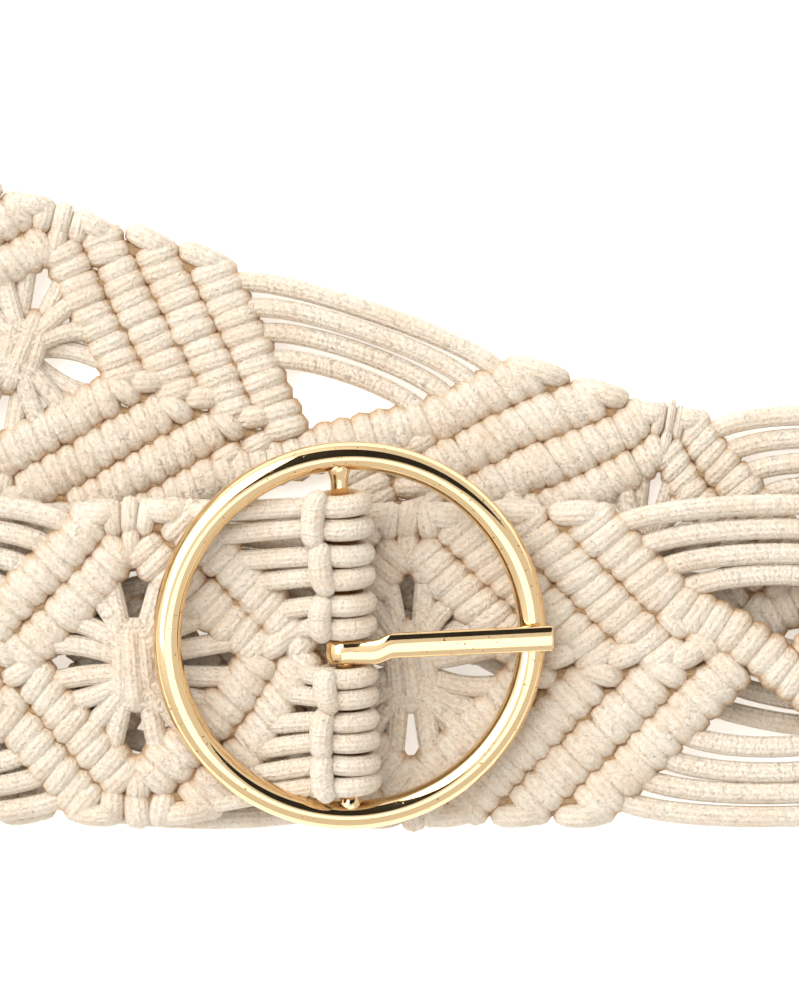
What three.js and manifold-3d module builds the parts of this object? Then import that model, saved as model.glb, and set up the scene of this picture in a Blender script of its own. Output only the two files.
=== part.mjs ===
// Knotted cotton belt on a gold ring buckle, lying in a loose loop. Millimetres, +Z up.
// The strap is a band of twelve cords: rows of hitches in chevrons, open star knots between
// them, and free arcs of cord beside each crossing. Six loops hold it on the buckle's bar.
import * as THREE from 'three';
import { mergeVertices } from 'three/addons/utils/BufferGeometryUtils.js';
import Module from 'manifold-3d';

const wasm = await Module();
wasm.setup();

// Cord and strap
const cordDiameter = 4;
const strapWidth = 62;
const strapThick = 7.6;
const rowPitch = 11.35; // from one row of hitches to the next, along the belt
const starHalf = 17; // from a star's centre to the tip of the first row beside it
const crossingMargin = 1; // from the last row's tip to the middle of a crossing
const valleyShare = 0.68; // thickness of the strap between two rows, as a share of strapThick
const scallop = 1.3; // how far the edge draws in between two rows
const knotHalfLength = 4.2;
const knotHalfWidth = 8;
const knotNose = 0.55; // width of the knot's ends, as a share of knotHalfWidth
const knotCrown = 0.7; // length of the knot at its full width, as a share of knotHalfLength

// Buckle
const ringOuter = 75.5;
const ringWire = 5.5;
const barDiameter = 3.4;
const barOffset = 1; // from the ring's centre to the bar
const tongueWidth = 4.8;
const tongueThick = 1.8;
const tongueOffset = 1.4; // from the bar's middle to the tongue's root
const tongueJog = 1.2; // sideways step of the tongue where it leaves the bar
const tongueOverhang = 1; // from the ring's outer edge to the tongue's tip
const tongueBevel = 0.35;
const tipChamfer = 0.5;
const curlStart = -63; // degrees about the bar from the tongue's way to the curl's free end
const curlEnd = -270; // to where the curl runs out into the strip
const curlSteps = 10;
const footFlare = 1.35; // width of the bar's soldered feet, as a share of its diameter
const footReach = 0.5; // from the ring's wire to where a foot begins to narrow
const footTaper = 0.9; // length over which it narrows

// Gaps between pieces, and between layers of the strap that lie on each other
const fitGap = 0.3;
const loopGap = 1.6; // between the loops above the tongue; below it they share what room is left
const layerGap = 0.6;

// Lay of the loop, seen from above, and of the buckle on it
const loopReach = 200; // ring centre to the far left turn
const foldReach = 193; // ring centre to the fold on the right
const buckleLift = 23.5;
const buckleRoll = 9.5; // degrees about X, the side towards +Y higher
const bucklePitch = 4.2; // degrees about Y, the side towards -X higher
const buckleSpin = 1.9; // degrees about its own axis

// Rows of hitches in each panel, from the bar to the free end. A panel runs from a crossing
// to a star or back, so the ends of the panels are bar, star, crossing, star and so on.
const panelRows = [2, 2, 4, 4, 4, 4, 4, 4, 4, 2, 2, 4, 4, 4, 4, 2, 2, 2];

// Middle line of the strap from the bar to the free end. x is a share of loopReach to the
// left and of foldReach to the right, y a share of strapWidth, lift a number of layers above
// the surface, tilt the lean in degrees with the edge towards +Y raised, spread a share of
// strapWidth, and end the panel end that lies there.
const route = [
  { x: -0.005, y: -0.042, lift: 1.3, tilt: 9.5, spread: 1, end: 0 },
  { x: -0.06, y: -0.048, lift: 1.16, tilt: 9.5, spread: 1 },
  { x: -0.13, y: -0.07, lift: 1.1, tilt: 9.1, spread: 1 },
  { x: -0.208, y: -0.084, lift: 1.07, tilt: 8.7, spread: 1, end: 1 },
  { x: -0.335, y: -0.074, lift: 1.04, tilt: 8, spread: 1 },
  { x: -0.46, y: -0.068, lift: 1.03, tilt: 5.5, spread: 1 },
  { x: -0.58, y: -0.06, lift: 0.95, tilt: 8, spread: 1 },
  { x: -0.69, y: -0.04, lift: 0.45, tilt: 28, spread: 1 },
  { x: -0.81, y: 0.02, lift: 0.06, tilt: 56, spread: 1 },
  { x: -0.94, y: 0.22, lift: 0.14, tilt: 79, spread: 1 },
  { x: -1, y: 0.69, lift: 0.1, tilt: 88, spread: 1 },
  { x: -0.94, y: 1.16, lift: 0.12, tilt: 79, spread: 1 },
  { x: -0.81, y: 1.36, lift: 0.06, tilt: 54, spread: 1 },
  { x: -0.66, y: 1.27, lift: 0.04, tilt: 28, spread: 0.98 },
  { x: -0.49, y: 1.07, lift: 0.02, tilt: 9, spread: 0.95 },
  { x: -0.321, y: 0.886, lift: 0, tilt: 2, spread: 0.94, end: 7 },
  { x: -0.17, y: 0.74, lift: 0, tilt: 0.4, spread: 0.94 },
  { x: -0.029, y: 0.583, lift: 0, tilt: 0, spread: 0.94, end: 8 },
  { x: 0.145, y: 0.4, lift: 0, tilt: 0, spread: 0.95 },
  { x: 0.292, y: 0.232, lift: 0, tilt: 0, spread: 0.97, end: 9 },
  { x: 0.445, y: 0.205, lift: 0, tilt: 0, spread: 1 },
  { x: 0.62, y: 0.17, lift: 0, tilt: 0, spread: 1 },
  { x: 0.79, y: 0.11, lift: 0.02, tilt: 0, spread: 1 },
  { x: 0.925, y: 0.06, lift: 0.11, tilt: 0, spread: 1 },
  { x: 0.99, y: 0.04, lift: 0.6, tilt: 0, spread: 1 },
  { x: 1, y: 0.02, lift: 1.4, tilt: 0, spread: 1 },
  { x: 0.965, y: 0, lift: 2.2, tilt: 0, spread: 1 },
  { x: 0.9, y: -0.02, lift: 2.45, tilt: 0, spread: 1 },
  { x: 0.79, y: -0.035, lift: 2, tilt: 0, spread: 1 },
  { x: 0.66, y: -0.055, lift: 1.3, tilt: 0, spread: 1 },
  { x: 0.54, y: -0.075, lift: 1.04, tilt: 0, spread: 1 },
  { x: 0.423, y: -0.081, lift: 1, tilt: 2, spread: 1, end: 14 },
  { x: 0.25, y: -0.088, lift: 0.74, tilt: 6, spread: 1 },
  { x: 0.15, y: -0.092, lift: 0.5, tilt: 8, spread: 1 },
  { x: 0.06, y: -0.096, lift: 0.26, tilt: 9.3, spread: 1, end: 15 },
  { x: -0.08, y: -0.096, lift: 0.12, tilt: 9.3, spread: 1 },
  { x: -0.2, y: -0.09, lift: 0.06, tilt: 8.8, spread: 1 },
  { x: -0.3, y: -0.084, lift: 0.02, tilt: 8.6, spread: 1 },
  { x: -0.38, y: -0.08, lift: 0, tilt: 7.5, spread: 1 },
  { x: -0.47, y: -0.08, lift: 0, tilt: 5, spread: 1 },
  { x: -0.55, y: -0.08, lift: 0, tilt: 3, spread: 1, end: 18 },
];

// Shares of a row's length, from the middle of the strap to its edge, at which it is divided.
// The star's cords meet the row between the first and second and the third and fourth.
const rowStations = [0, 0.3, 0.5, 0.75, 1];

// Free arcs of cord beside a crossing: where each leaves the last row, as shares of the half
// width, and where its middle line passes the crossing.
const arcs = [
  { inner: 0.43, outer: 0.55, middle: 0.54 },
  { inner: 0.58, outer: 0.69, middle: 0.685 },
  { inner: 0.72, outer: 0.83, middle: 0.83 },
  { inner: 0.87, outer: 1, middle: 0.98 },
];
const crossingShare = 0.22; // half width of the knots in the crossing itself
const arcSteps = 3;

// Tabs of two cords that run from the last row to each loop on the bar
const tabs = [
  { inner: 0.08, outer: 0.34 },
  { inner: 0.41, outer: 0.64 },
  { inner: 0.71, outer: 1 },
];

// Values that follow from the sizes above
const halfWidth = strapWidth / 2;
const ridge = strapThick / 2;
const valley = valleyShare * ridge;
const cordRadius = cordDiameter / 2;
const barRadius = barDiameter / 2;
const layerStep = strapThick + layerGap;
const rowSlope = (starHalf + rowPitch) / halfWidth;
const loopOuter = barRadius + fitGap + cordDiameter;
const loopWidth = 2 * cordDiameter;
const ringInnerRadius = ringOuter / 2 - ringWire;
const barRoom = Math.sqrt(ringInnerRadius ** 2 - (loopOuter + barOffset) ** 2) - 3 * fitGap;
const rootOffset = tongueOffset + tongueJog;
const firstLoop = tongueWidth / 2 + 2 * fitGap + loopWidth / 2;
const upperPitch = loopWidth + loopGap;
const lowerPitch = (barRoom - rootOffset - loopWidth / 2 - firstLoop) / 2;
const loopPlace = (side, i) => side * (firstLoop + i * (side > 0 ? upperPitch : lowerPitch));
const curlOuter = barRadius + fitGap + tongueThick;
const foldHalf = firstLoop - tongueWidth / 2 - tongueJog - fitGap; // clear of the tongue's swing
const tabEnd = loopOuter - 0.6 * cordDiameter; // from the bar's axis, inside the loops' wall
const loopShoulder = loopOuter - 0.4 * cordDiameter; // radius at which a loop has its full width
const foldRadius = 0.8 * cordRadius;
const bendEnd = loopOuter + tongueWidth / 2; // from the bar's axis to the level part of the tongue

// Beside the bar the rows lie closer together and further from the star, up to the tongue's curl.
// at is a distance from the star in rows after starHalf, place where that comes to lie, in rows.
const barRows = [
  { at: 0, place: 0.26 },
  { at: 1.5, place: 1.5 },
  { at: panelRows[0], place: panelRows[0] + (crossingMargin - curlOuter - 3 * fitGap) / rowPitch },
];

const degrees = THREE.MathUtils.degToRad;
const round = (value) => Math.round(value * 1000);

// A flat net of faces in belt coordinates: u along the belt, v across it, w half its thickness.
function makeNet() {
  const points = [];
  const seen = new Map();
  const faces = [];
  const point = (u, v, w) => {
    const key = `${round(u)},${round(v)}`;
    if (!seen.has(key)) {
      seen.set(key, points.length);
      points.push({ u, v, w });
    }
    return seen.get(key);
  };
  const face = (a, b, c) => {
    if (a === b || b === c || a === c) return;
    const [p, q, r] = [points[a], points[b], points[c]];
    const area = (q.u - p.u) * (r.v - p.v) - (r.u - p.u) * (q.v - p.v);
    faces.push(area > 0 ? [a, b, c] : [a, c, b]);
  };
  // Fills the strip between two lines of points, each running the same way.
  const strip = (left, right) => {
    let i = 0;
    let j = 0;
    while (i < left.length - 1 || j < right.length - 1) {
      const nextLeft = i < left.length - 1 ? (i + 1) / (left.length - 1) : Infinity;
      const nextRight = j < right.length - 1 ? (j + 1) / (right.length - 1) : Infinity;
      if (nextLeft <= nextRight) {
        face(left[i], left[i + 1], right[j]);
        i += 1;
      } else {
        face(left[i], right[j + 1], right[j]);
        j += 1;
      }
    }
  };
  return { points, faces, point, face, strip };
}

// Where the ends of the panels lie along the belt, with a star at every odd one.
function panelEnds() {
  const ends = [0];
  panelRows.forEach((rows, i) => {
    const margin = i === panelRows.length - 1 ? 0 : crossingMargin;
    ends.push(ends[i] + starHalf + rows * rowPitch + margin);
  });
  return ends;
}

// Where a point at distance x from the star lies in the panel beside the bar.
function besideBar(x) {
  const row = (x - starHalf) / rowPitch;
  if (row <= 0) return x * (1 + (barRows[0].place * rowPitch) / starHalf);
  const i = Math.max(1, barRows.findIndex(({ at }) => row <= at + 1e-6));
  const [from, to] = [barRows[i - 1], barRows[i]];
  const share = (row - from.at) / (to.at - from.at);
  return starHalf + (from.place + share * (to.place - from.place)) * rowPitch;
}

// Points of one line along a row: even lines lie between rows, odd ones on their crests.
// x is the distance from the star.
function rowLine(net, panel, line, stations) {
  const start = starHalf + (line * rowPitch) / 2;
  const reach = Math.min(start / rowSlope, halfWidth);
  const crest = line % 2 === 1;
  const edge = reach < halfWidth || crest ? reach : halfWidth - scallop;
  return stations.map((share) => {
    const v = share * edge;
    const onPlane = reach < halfWidth && share === 1;
    const x = onPlane ? 0 : start - v * rowSlope;
    const high = crest && !(panel.lowTip && share === 0);
    return net.point(panel.place(x), panel.side * v, high ? ridge : valley);
  });
}

// The rows of hitches of a panel on one side of the middle line.
function addRows(net, panel, lastStations) {
  const lines = [];
  for (let line = 0; line <= 2 * panel.rows; line += 1) {
    const last = line === 2 * panel.rows;
    lines.push(rowLine(net, panel, line, last ? lastStations : rowStations));
  }
  for (let line = 1; line < lines.length; line += 1) {
    net.strip(lines[line - 1], lines[line]);
  }
  return lines;
}

// One quarter of a star: the square knot's corner and two bundles of cords to the first row.
function addStarQuarter(net, panel, firstLine) {
  const { side, place } = panel;
  const middle = net.point(place(0), 0, ridge);
  const nose = net.point(place(knotHalfLength), 0, valley);
  const shoulder = net.point(place(knotHalfLength), side * knotNose * knotHalfWidth, valley);
  const crown = net.point(place(knotCrown * knotHalfLength), side * knotHalfWidth, valley);
  const crownMiddle = net.point(place(0), side * knotHalfWidth, ridge);
  net.face(middle, nose, shoulder);
  net.face(middle, shoulder, crown);
  net.face(middle, crown, crownMiddle);
  net.strip([nose, shoulder], [firstLine[0], firstLine[1]]);
  net.strip([shoulder, crown], [firstLine[2], firstLine[3]]);
}

// Half of the crossing beside a panel: its knots, and the free arcs up to the middle plane.
function addArcs(net, panel, lastLine) {
  const { side, place, length } = panel;
  const point = (x, v, w) => net.point(place(x), side * v, w);
  net.strip(
    [lastLine[0], lastLine[1]],
    [point(length, 0, ridge), point(length, crossingShare * halfWidth, valley)],
  );
  arcs.forEach((arc, i) => {
    const index = 2 + 2 * i;
    const rails = [
      { from: lastLine[index], to: arc.middle * halfWidth - cordRadius },
      { from: lastLine[index + 1], to: arc.middle * halfWidth + cordRadius },
    ].map(({ from, to }) => {
      const { u, v } = net.points[from];
      const startX = Math.abs(u - place(0));
      const startV = Math.abs(v);
      const rail = [from];
      for (let step = 1; step <= arcSteps; step += 1) {
        const share = step / arcSteps;
        const x = step === arcSteps ? length : startX + (length - startX) * share;
        const bulge = Math.sin((share * Math.PI) / 2);
        rail.push(point(x, startV + (to - startV) * bulge, cordRadius));
      }
      return rail;
    });
    net.strip(rails[0], rails[1]);
  });
}

// Tabs from the last row beside the bar, ending inside the wall of each loop.
function addTabs(net, panel, lastLine) {
  const { side, end } = panel;
  tabs.forEach((tab, i) => {
    const near = net.point(end, loopPlace(side, i) - side * foldHalf, cordRadius);
    const far = net.point(end, loopPlace(side, i) + side * foldHalf, cordRadius);
    net.strip([lastLine[1 + 2 * i], lastLine[2 + 2 * i]], [near, far]);
  });
}

// The whole strap as a flat net.
function strapNet() {
  const net = makeNet();
  const ends = panelEnds();
  const arcStations = [0, crossingShare, ...arcs.flatMap((arc) => [arc.inner, arc.outer])];
  const tabStations = [0, ...tabs.flatMap((tab) => [tab.inner, tab.outer])];
  panelRows.forEach((rows, i) => {
    const starFirst = i % 2 === 1;
    const star = starFirst ? ends[i] : ends[i + 1];
    const direction = starFirst ? 1 : -1;
    const length = ends[i + 1] - ends[i];
    const atBar = i === 0;
    const atTip = i === panelRows.length - 1;
    const stations = atBar ? tabStations : atTip ? rowStations : arcStations;
    for (const side of [1, -1]) {
      const place = (x) => star + direction * (atBar ? besideBar(x) : x);
      const panel = { rows, side, place, length, lowTip: atBar };
      const lines = addRows(net, panel, stations);
      addStarQuarter(net, panel, lines[0]);
      if (atBar) addTabs(net, { side, end: star + direction * (length - tabEnd) }, lines.at(-1));
      else if (!atTip) addArcs(net, panel, lines.at(-1));
    }
  });
  return net;
}

// Catmull-Rom value of one column of the route at a place counted in rows of the table.
function routeValue(name, at) {
  const last = route.length - 1;
  const i = Math.min(Math.floor(at), last - 1);
  const t = at - i;
  const a = route[Math.max(i - 1, 0)][name];
  const b = route[i][name];
  const c = route[i + 1][name];
  const d = route[Math.min(i + 2, last)][name];
  const bend = 2 * a - 5 * b + 4 * c - d;
  return 0.5 * (2 * b + (c - a) * t + bend * t ** 2 + (3 * b - a - 3 * c + d) * t ** 3);
}

// Maps belt coordinates to the lying loop.
function makeLay() {
  const ends = panelEnds();
  const middleLine = new THREE.CatmullRomCurve3(route.map(({ x, y, lift, tilt }) => {
    const lean = degrees(tilt);
    const rise = halfWidth * Math.sin(lean) + ridge * Math.cos(lean);
    const reach = x < 0 ? loopReach : foldReach;
    return new THREE.Vector3(x * reach, y * strapWidth, lift * layerStep + rise);
  }));
  const samplesPerRow = 60;
  const samples = (route.length - 1) * samplesPerRow;
  const lengths = [0];
  let previous = middleLine.getPoint(0);
  for (let i = 1; i <= samples; i += 1) {
    const next = middleLine.getPoint(i / samples);
    lengths.push(lengths[i - 1] + next.distanceTo(previous));
    previous = next;
  }
  const pins = route.flatMap((row, i) => (
    row.end === undefined ? [] : [{ u: ends[row.end], length: lengths[i * samplesPerRow] }]
  ));
  const share = (u) => {
    let i = 0;
    while (i < pins.length - 2 && u > pins[i + 1].u) i += 1;
    const part = (u - pins[i].u) / (pins[i + 1].u - pins[i].u);
    const target = pins[i].length + part * (pins[i + 1].length - pins[i].length);
    let low = 0;
    let high = samples;
    while (high - low > 1) {
      const half = Math.floor((low + high) / 2);
      if (lengths[half] <= target) low = half;
      else high = half;
    }
    const step = THREE.MathUtils.clamp((target - lengths[low]) / (lengths[high] - lengths[low]), 0, 1);
    return (low + step) / samples;
  };
  return ({ u, v, w }) => {
    const t = share(u);
    const at = t * (route.length - 1);
    const along = middleLine.getTangent(t);
    const lean = degrees(routeValue('tilt', at));
    const across = new THREE.Vector3(0, Math.cos(lean), Math.sin(lean));
    across.addScaledVector(along, -across.dot(along)).normalize();
    const out = new THREE.Vector3().crossVectors(across, along);
    return middleLine.getPoint(t)
      .addScaledVector(across, v * routeValue('spread', at))
      .addScaledVector(out, w);
  };
}

// Closes a net into a solid of twice its half thickness, laid along the route.
function layNet({ points, faces }, lay) {
  const count = points.length;
  const positions = [];
  for (const sign of [1, -1]) {
    for (const { u, v, w } of points) positions.push(...lay({ u, v, w: sign * w }).toArray());
  }
  const edges = new Set(faces.flatMap(([a, b, c]) => [`${a}-${b}`, `${b}-${c}`, `${c}-${a}`]));
  const triangles = [];
  for (const [a, b, c] of faces) {
    triangles.push(a, c, b, a + count, b + count, c + count);
    for (const [p, q] of [[a, b], [b, c], [c, a]]) {
      if (!edges.has(`${q}-${p}`)) triangles.push(p, q, q + count, p, q + count, p + count);
    }
  }
  return { positions, triangles };
}

function toManifold(vertProperties, triVerts) {
  return new wasm.Manifold(new wasm.Mesh({
    numProp: 3,
    vertProperties: new Float32Array(vertProperties),
    triVerts: new Uint32Array(triVerts),
  }));
}

function geometryToManifold(source, matrix = new THREE.Matrix4()) {
  const geometry = source.clone().applyMatrix4(matrix);
  geometry.deleteAttribute('normal');
  geometry.deleteAttribute('uv');
  const merged = mergeVertices(geometry, 1e-4);
  return toManifold(merged.attributes.position.array, merged.index.array);
}

function manifoldToGeometry(solid) {
  const { vertProperties, triVerts } = solid.getMesh();
  const geometry = new THREE.BufferGeometry();
  geometry.setAttribute('position', new THREE.BufferAttribute(vertProperties, 3));
  geometry.setIndex(new THREE.BufferAttribute(triVerts, 1));
  geometry.computeVertexNormals();
  return geometry;
}

// The buckle's own frame: X along the tongue, Y along the bar.
const buckle = new THREE.Group();
buckle.position.set(0, 0, buckleLift);
buckle.rotation.set(degrees(buckleRoll), degrees(bucklePitch), degrees(buckleSpin));
buckle.updateMatrix();

const at = (x, y, z) => new THREE.Matrix4().makeTranslation(x, y, z);

// One loop on the bar: two turns of cord side by side, and the fold that lies across them.
function barLoop(y) {
  const sides = 10;
  const ring = new THREE.LatheGeometry([
    new THREE.Vector2(barRadius + fitGap, -loopWidth / 2),
    new THREE.Vector2(loopShoulder, -loopWidth / 2),
    new THREE.Vector2(loopOuter, -loopWidth / 4),
    new THREE.Vector2(loopOuter, loopWidth / 4),
    new THREE.Vector2(loopShoulder, loopWidth / 2),
    new THREE.Vector2(barRadius + fitGap, loopWidth / 2),
    new THREE.Vector2(barRadius + fitGap, -loopWidth / 2),
  ], sides);
  const fold = new THREE.CylinderGeometry(foldRadius, foldRadius, 2 * foldHalf, 8);
  return geometryToManifold(ring, at(-barOffset, y, 0))
    .add(geometryToManifold(fold, at(-barOffset - loopOuter, y, cordRadius)));
}

function strapGeometry() {
  const { positions, triangles } = layNet(strapNet(), makeLay());
  const band = toManifold(positions, triangles);
  return [1, -1].reduce((whole, side) => (
    tabs.reduce((sum, tab, i) => {
      const loop = barLoop(loopPlace(side, i) - rootOffset);
      return sum.add(loop.transform(buckle.matrix.elements));
    }, whole)
  ), band);
}

// Ring of round wire with the bar soldered across it
function frameGeometry() {
  const ringRadius = (ringOuter - ringWire) / 2;
  const ring = new THREE.TorusGeometry(ringRadius, ringWire / 2, 10, 48);
  const barHalf = Math.sqrt(ringRadius ** 2 - barOffset ** 2);
  const footRadius = footFlare * barRadius;
  const wide = barHalf - ringWire / 2 - footReach;
  const narrow = wide - footTaper;
  const bar = new THREE.LatheGeometry([
    new THREE.Vector2(0, -barHalf),
    new THREE.Vector2(footRadius, -barHalf),
    new THREE.Vector2(footRadius, -wide),
    new THREE.Vector2(barRadius, -narrow),
    new THREE.Vector2(barRadius, narrow),
    new THREE.Vector2(footRadius, wide),
    new THREE.Vector2(footRadius, barHalf),
    new THREE.Vector2(0, barHalf),
  ], 12);
  return manifoldToGeometry(
    geometryToManifold(ring).add(geometryToManifold(bar, at(-barOffset, 0, 0))),
  );
}

// Tongue: a flat strip curled round the bar, whose tip lies on the ring. Each station gives the
// middle of the strip, the way out of its upper side, and its thickness there.
function tongueStations() {
  const curlMiddle = curlOuter - tongueThick / 2;
  const restHeight = ringWire / 2 + fitGap + tongueThick / 2;
  const tipX = ringOuter / 2 + tongueOverhang + barOffset;
  const stations = [];
  for (let i = 0; i <= curlSteps; i += 1) {
    const angle = degrees(curlStart + ((curlEnd - curlStart) * i) / curlSteps);
    const out = [Math.cos(angle), Math.sin(angle)];
    stations.push({ x: curlMiddle * out[0], z: curlMiddle * out[1], out, thick: tongueThick });
  }
  // Between the curl and its level part the strip climbs evenly, past the loops beside it.
  const climb = curlMiddle + (restHeight - curlMiddle) * (loopOuter / bendEnd);
  const up = [0, 1];
  stations.push(
    { x: loopOuter, z: climb, out: up, thick: tongueThick },
    { x: bendEnd, z: restHeight, out: up, thick: tongueThick },
    { x: tipX - tipChamfer, z: restHeight, out: up, thick: tongueThick },
    { x: tipX, z: restHeight - tipChamfer / 2, out: up, thick: tongueThick - tipChamfer },
  );
  return stations;
}

// The strip's section is a rectangle with its four corners cut off. Beside the loops the whole
// strip stands aside by tongueJog, and comes back into line as it climbs.
function tongueGeometry() {
  const positions = [];
  const faces = [];
  const corners = 8;
  const wide = tongueWidth / 2;
  const stations = tongueStations();
  stations.forEach(({ x, z, out, thick }) => {
    const high = thick / 2;
    const jog = tongueJog * THREE.MathUtils.clamp((bendEnd - x) / (bendEnd - loopOuter), 0, 1);
    const section = [[wide, high - tongueBevel], [wide - tongueBevel, high]];
    const half = [...section, ...section.map(([y, h]) => [-y, h]).reverse()];
    for (const [y, h] of [...half, ...half.map(([y, h]) => [-y, -h])]) {
      positions.push(x + h * out[0], y - jog, z + h * out[1]);
    }
  });
  const last = (stations.length - 1) * corners;
  for (let start = 0; start < last; start += corners) {
    for (let k = 0; k < corners; k += 1) {
      const next = (k + 1) % corners;
      const [a, b, c, d] = [start + k, start + next, start + corners + next, start + corners + k];
      faces.push(a, b, c, a, c, d);
    }
  }
  for (let k = 1; k < corners - 1; k += 1) {
    faces.push(0, k + 1, k, last, last + k, last + k + 1);
  }
  return manifoldToGeometry(toManifold(positions, faces));
}

const cotton = { color: 0xf3e4cf, roughness: 0.95, metalness: 0 };
const gold = { color: 0xe0b565, roughness: 0.18, metalness: 1 };

function makeMesh(name, geometry, finish) {
  const mesh = new THREE.Mesh(geometry, new THREE.MeshStandardMaterial(finish));
  mesh.name = name;
  return mesh;
}

const strap = makeMesh('strap', manifoldToGeometry(strapGeometry()), cotton);
const frame = makeMesh('buckle_frame', frameGeometry(), gold);
const tongue = makeMesh('buckle_tongue', tongueGeometry(), gold);
tongue.position.set(-barOffset, -tongueOffset, 0);
buckle.add(frame, tongue);

// The origin lies under the middle of the whole belt, on the surface that it lies on.
const belt = new THREE.Group();
belt.add(strap, buckle);
const bounds = new THREE.Box3().setFromObject(belt, true);
const middle = bounds.getCenter(new THREE.Vector3());
belt.position.set(-middle.x, -middle.y, -bounds.min.z);
belt.updateMatrixWorld(true);

export default belt;
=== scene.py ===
import math

import bpy
import numpy as np
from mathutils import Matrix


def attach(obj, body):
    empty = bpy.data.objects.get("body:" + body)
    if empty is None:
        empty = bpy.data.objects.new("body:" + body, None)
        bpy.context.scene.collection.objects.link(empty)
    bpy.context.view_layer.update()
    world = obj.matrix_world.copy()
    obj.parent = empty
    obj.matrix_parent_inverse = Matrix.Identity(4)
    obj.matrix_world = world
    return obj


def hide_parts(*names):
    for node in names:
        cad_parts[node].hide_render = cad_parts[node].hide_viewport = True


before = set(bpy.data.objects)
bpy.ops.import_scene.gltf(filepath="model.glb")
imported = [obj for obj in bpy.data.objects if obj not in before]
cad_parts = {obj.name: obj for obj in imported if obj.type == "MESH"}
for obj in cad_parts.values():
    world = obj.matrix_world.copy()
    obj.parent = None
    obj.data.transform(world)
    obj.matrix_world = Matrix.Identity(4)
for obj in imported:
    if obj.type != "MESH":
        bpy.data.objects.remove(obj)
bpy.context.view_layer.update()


# Strap: rows of hitches
# Braided cotton cord, 4 mm thick, knotted by hand. Twelve cords run along the strap, and in each
# slanting row they are hitched twice each round a leading cord, which leaves a row of plump turns.

CORD = 4.0
HALF_WIDTH = 31.0
STRAP_THICK = 7.6
LAYER_GAP = 0.6
ROW_PITCH = 11.35
STAR_HALF = 17.0
CROSSING_MARGIN = 1.0
LOOP_REACH = 200.0
FOLD_REACH = 193.0
RIDGE = STRAP_THICK / 2
ROW_SLOPE = (STAR_HALF + ROW_PITCH) / HALF_WIDTH
PANEL_ROWS = [2, 2, 4, 4, 4, 4, 4, 4, 4, 2, 2, 4, 4, 4, 4, 2, 2, 2]
LAY_SHIFT = np.array([3.6317, -35.0561, 0.0196])

# Middle line of the strap: x, y, lift, tilt, spread, and the panel end that lies there or -1.
ROUTE = np.array([
    [-0.005, -0.042, 1.3, 9.5, 1, 0],
    [-0.06, -0.048, 1.16, 9.5, 1, -1],
    [-0.13, -0.07, 1.1, 9.1, 1, -1],
    [-0.208, -0.084, 1.07, 8.7, 1, 1],
    [-0.335, -0.074, 1.04, 8, 1, -1],
    [-0.46, -0.068, 1.03, 5.5, 1, -1],
    [-0.58, -0.06, 0.95, 8, 1, -1],
    [-0.69, -0.04, 0.45, 28, 1, -1],
    [-0.81, 0.02, 0.06, 56, 1, -1],
    [-0.94, 0.22, 0.14, 79, 1, -1],
    [-1, 0.69, 0.1, 88, 1, -1],
    [-0.94, 1.16, 0.12, 79, 1, -1],
    [-0.81, 1.36, 0.06, 54, 1, -1],
    [-0.66, 1.27, 0.04, 28, 0.98, -1],
    [-0.49, 1.07, 0.02, 9, 0.95, -1],
    [-0.321, 0.886, 0, 2, 0.94, 7],
    [-0.17, 0.74, 0, 0.4, 0.94, -1],
    [-0.029, 0.583, 0, 0, 0.94, 8],
    [0.145, 0.4, 0, 0, 0.95, -1],
    [0.292, 0.232, 0, 0, 0.97, 9],
    [0.445, 0.205, 0, 0, 1, -1],
    [0.62, 0.17, 0, 0, 1, -1],
    [0.79, 0.11, 0.02, 0, 1, -1],
    [0.925, 0.06, 0.11, 0, 1, -1],
    [0.99, 0.04, 0.6, 0, 1, -1],
    [1, 0.02, 1.4, 0, 1, -1],
    [0.965, 0, 2.2, 0, 1, -1],
    [0.9, -0.02, 2.45, 0, 1, -1],
    [0.79, -0.035, 2, 0, 1, -1],
    [0.66, -0.055, 1.3, 0, 1, -1],
    [0.54, -0.075, 1.04, 0, 1, -1],
    [0.423, -0.081, 1, 2, 1, 14],
    [0.25, -0.088, 0.74, 6, 1, -1],
    [0.15, -0.092, 0.5, 8, 1, -1],
    [0.06, -0.096, 0.26, 9.3, 1, 15],
    [-0.08, -0.096, 0.12, 9.3, 1, -1],
    [-0.2, -0.09, 0.06, 8.8, 1, -1],
    [-0.3, -0.084, 0.02, 8.6, 1, -1],
    [-0.38, -0.08, 0, 7.5, 1, -1],
    [-0.47, -0.08, 0, 5, 1, -1],
    [-0.55, -0.08, 0, 3, 1, 18],
])


def panel_ends():
    """Where the panels end along the strap: each adds half a star, its rows and the crossing's
    margin, which the last panel has no need of."""
    last = len(PANEL_ROWS) - 1
    steps = [STAR_HALF + rows * ROW_PITCH + (0 if i == last else CROSSING_MARGIN)
             for i, rows in enumerate(PANEL_ROWS)]
    return np.concatenate([[0.0], np.cumsum(steps)])


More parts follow.
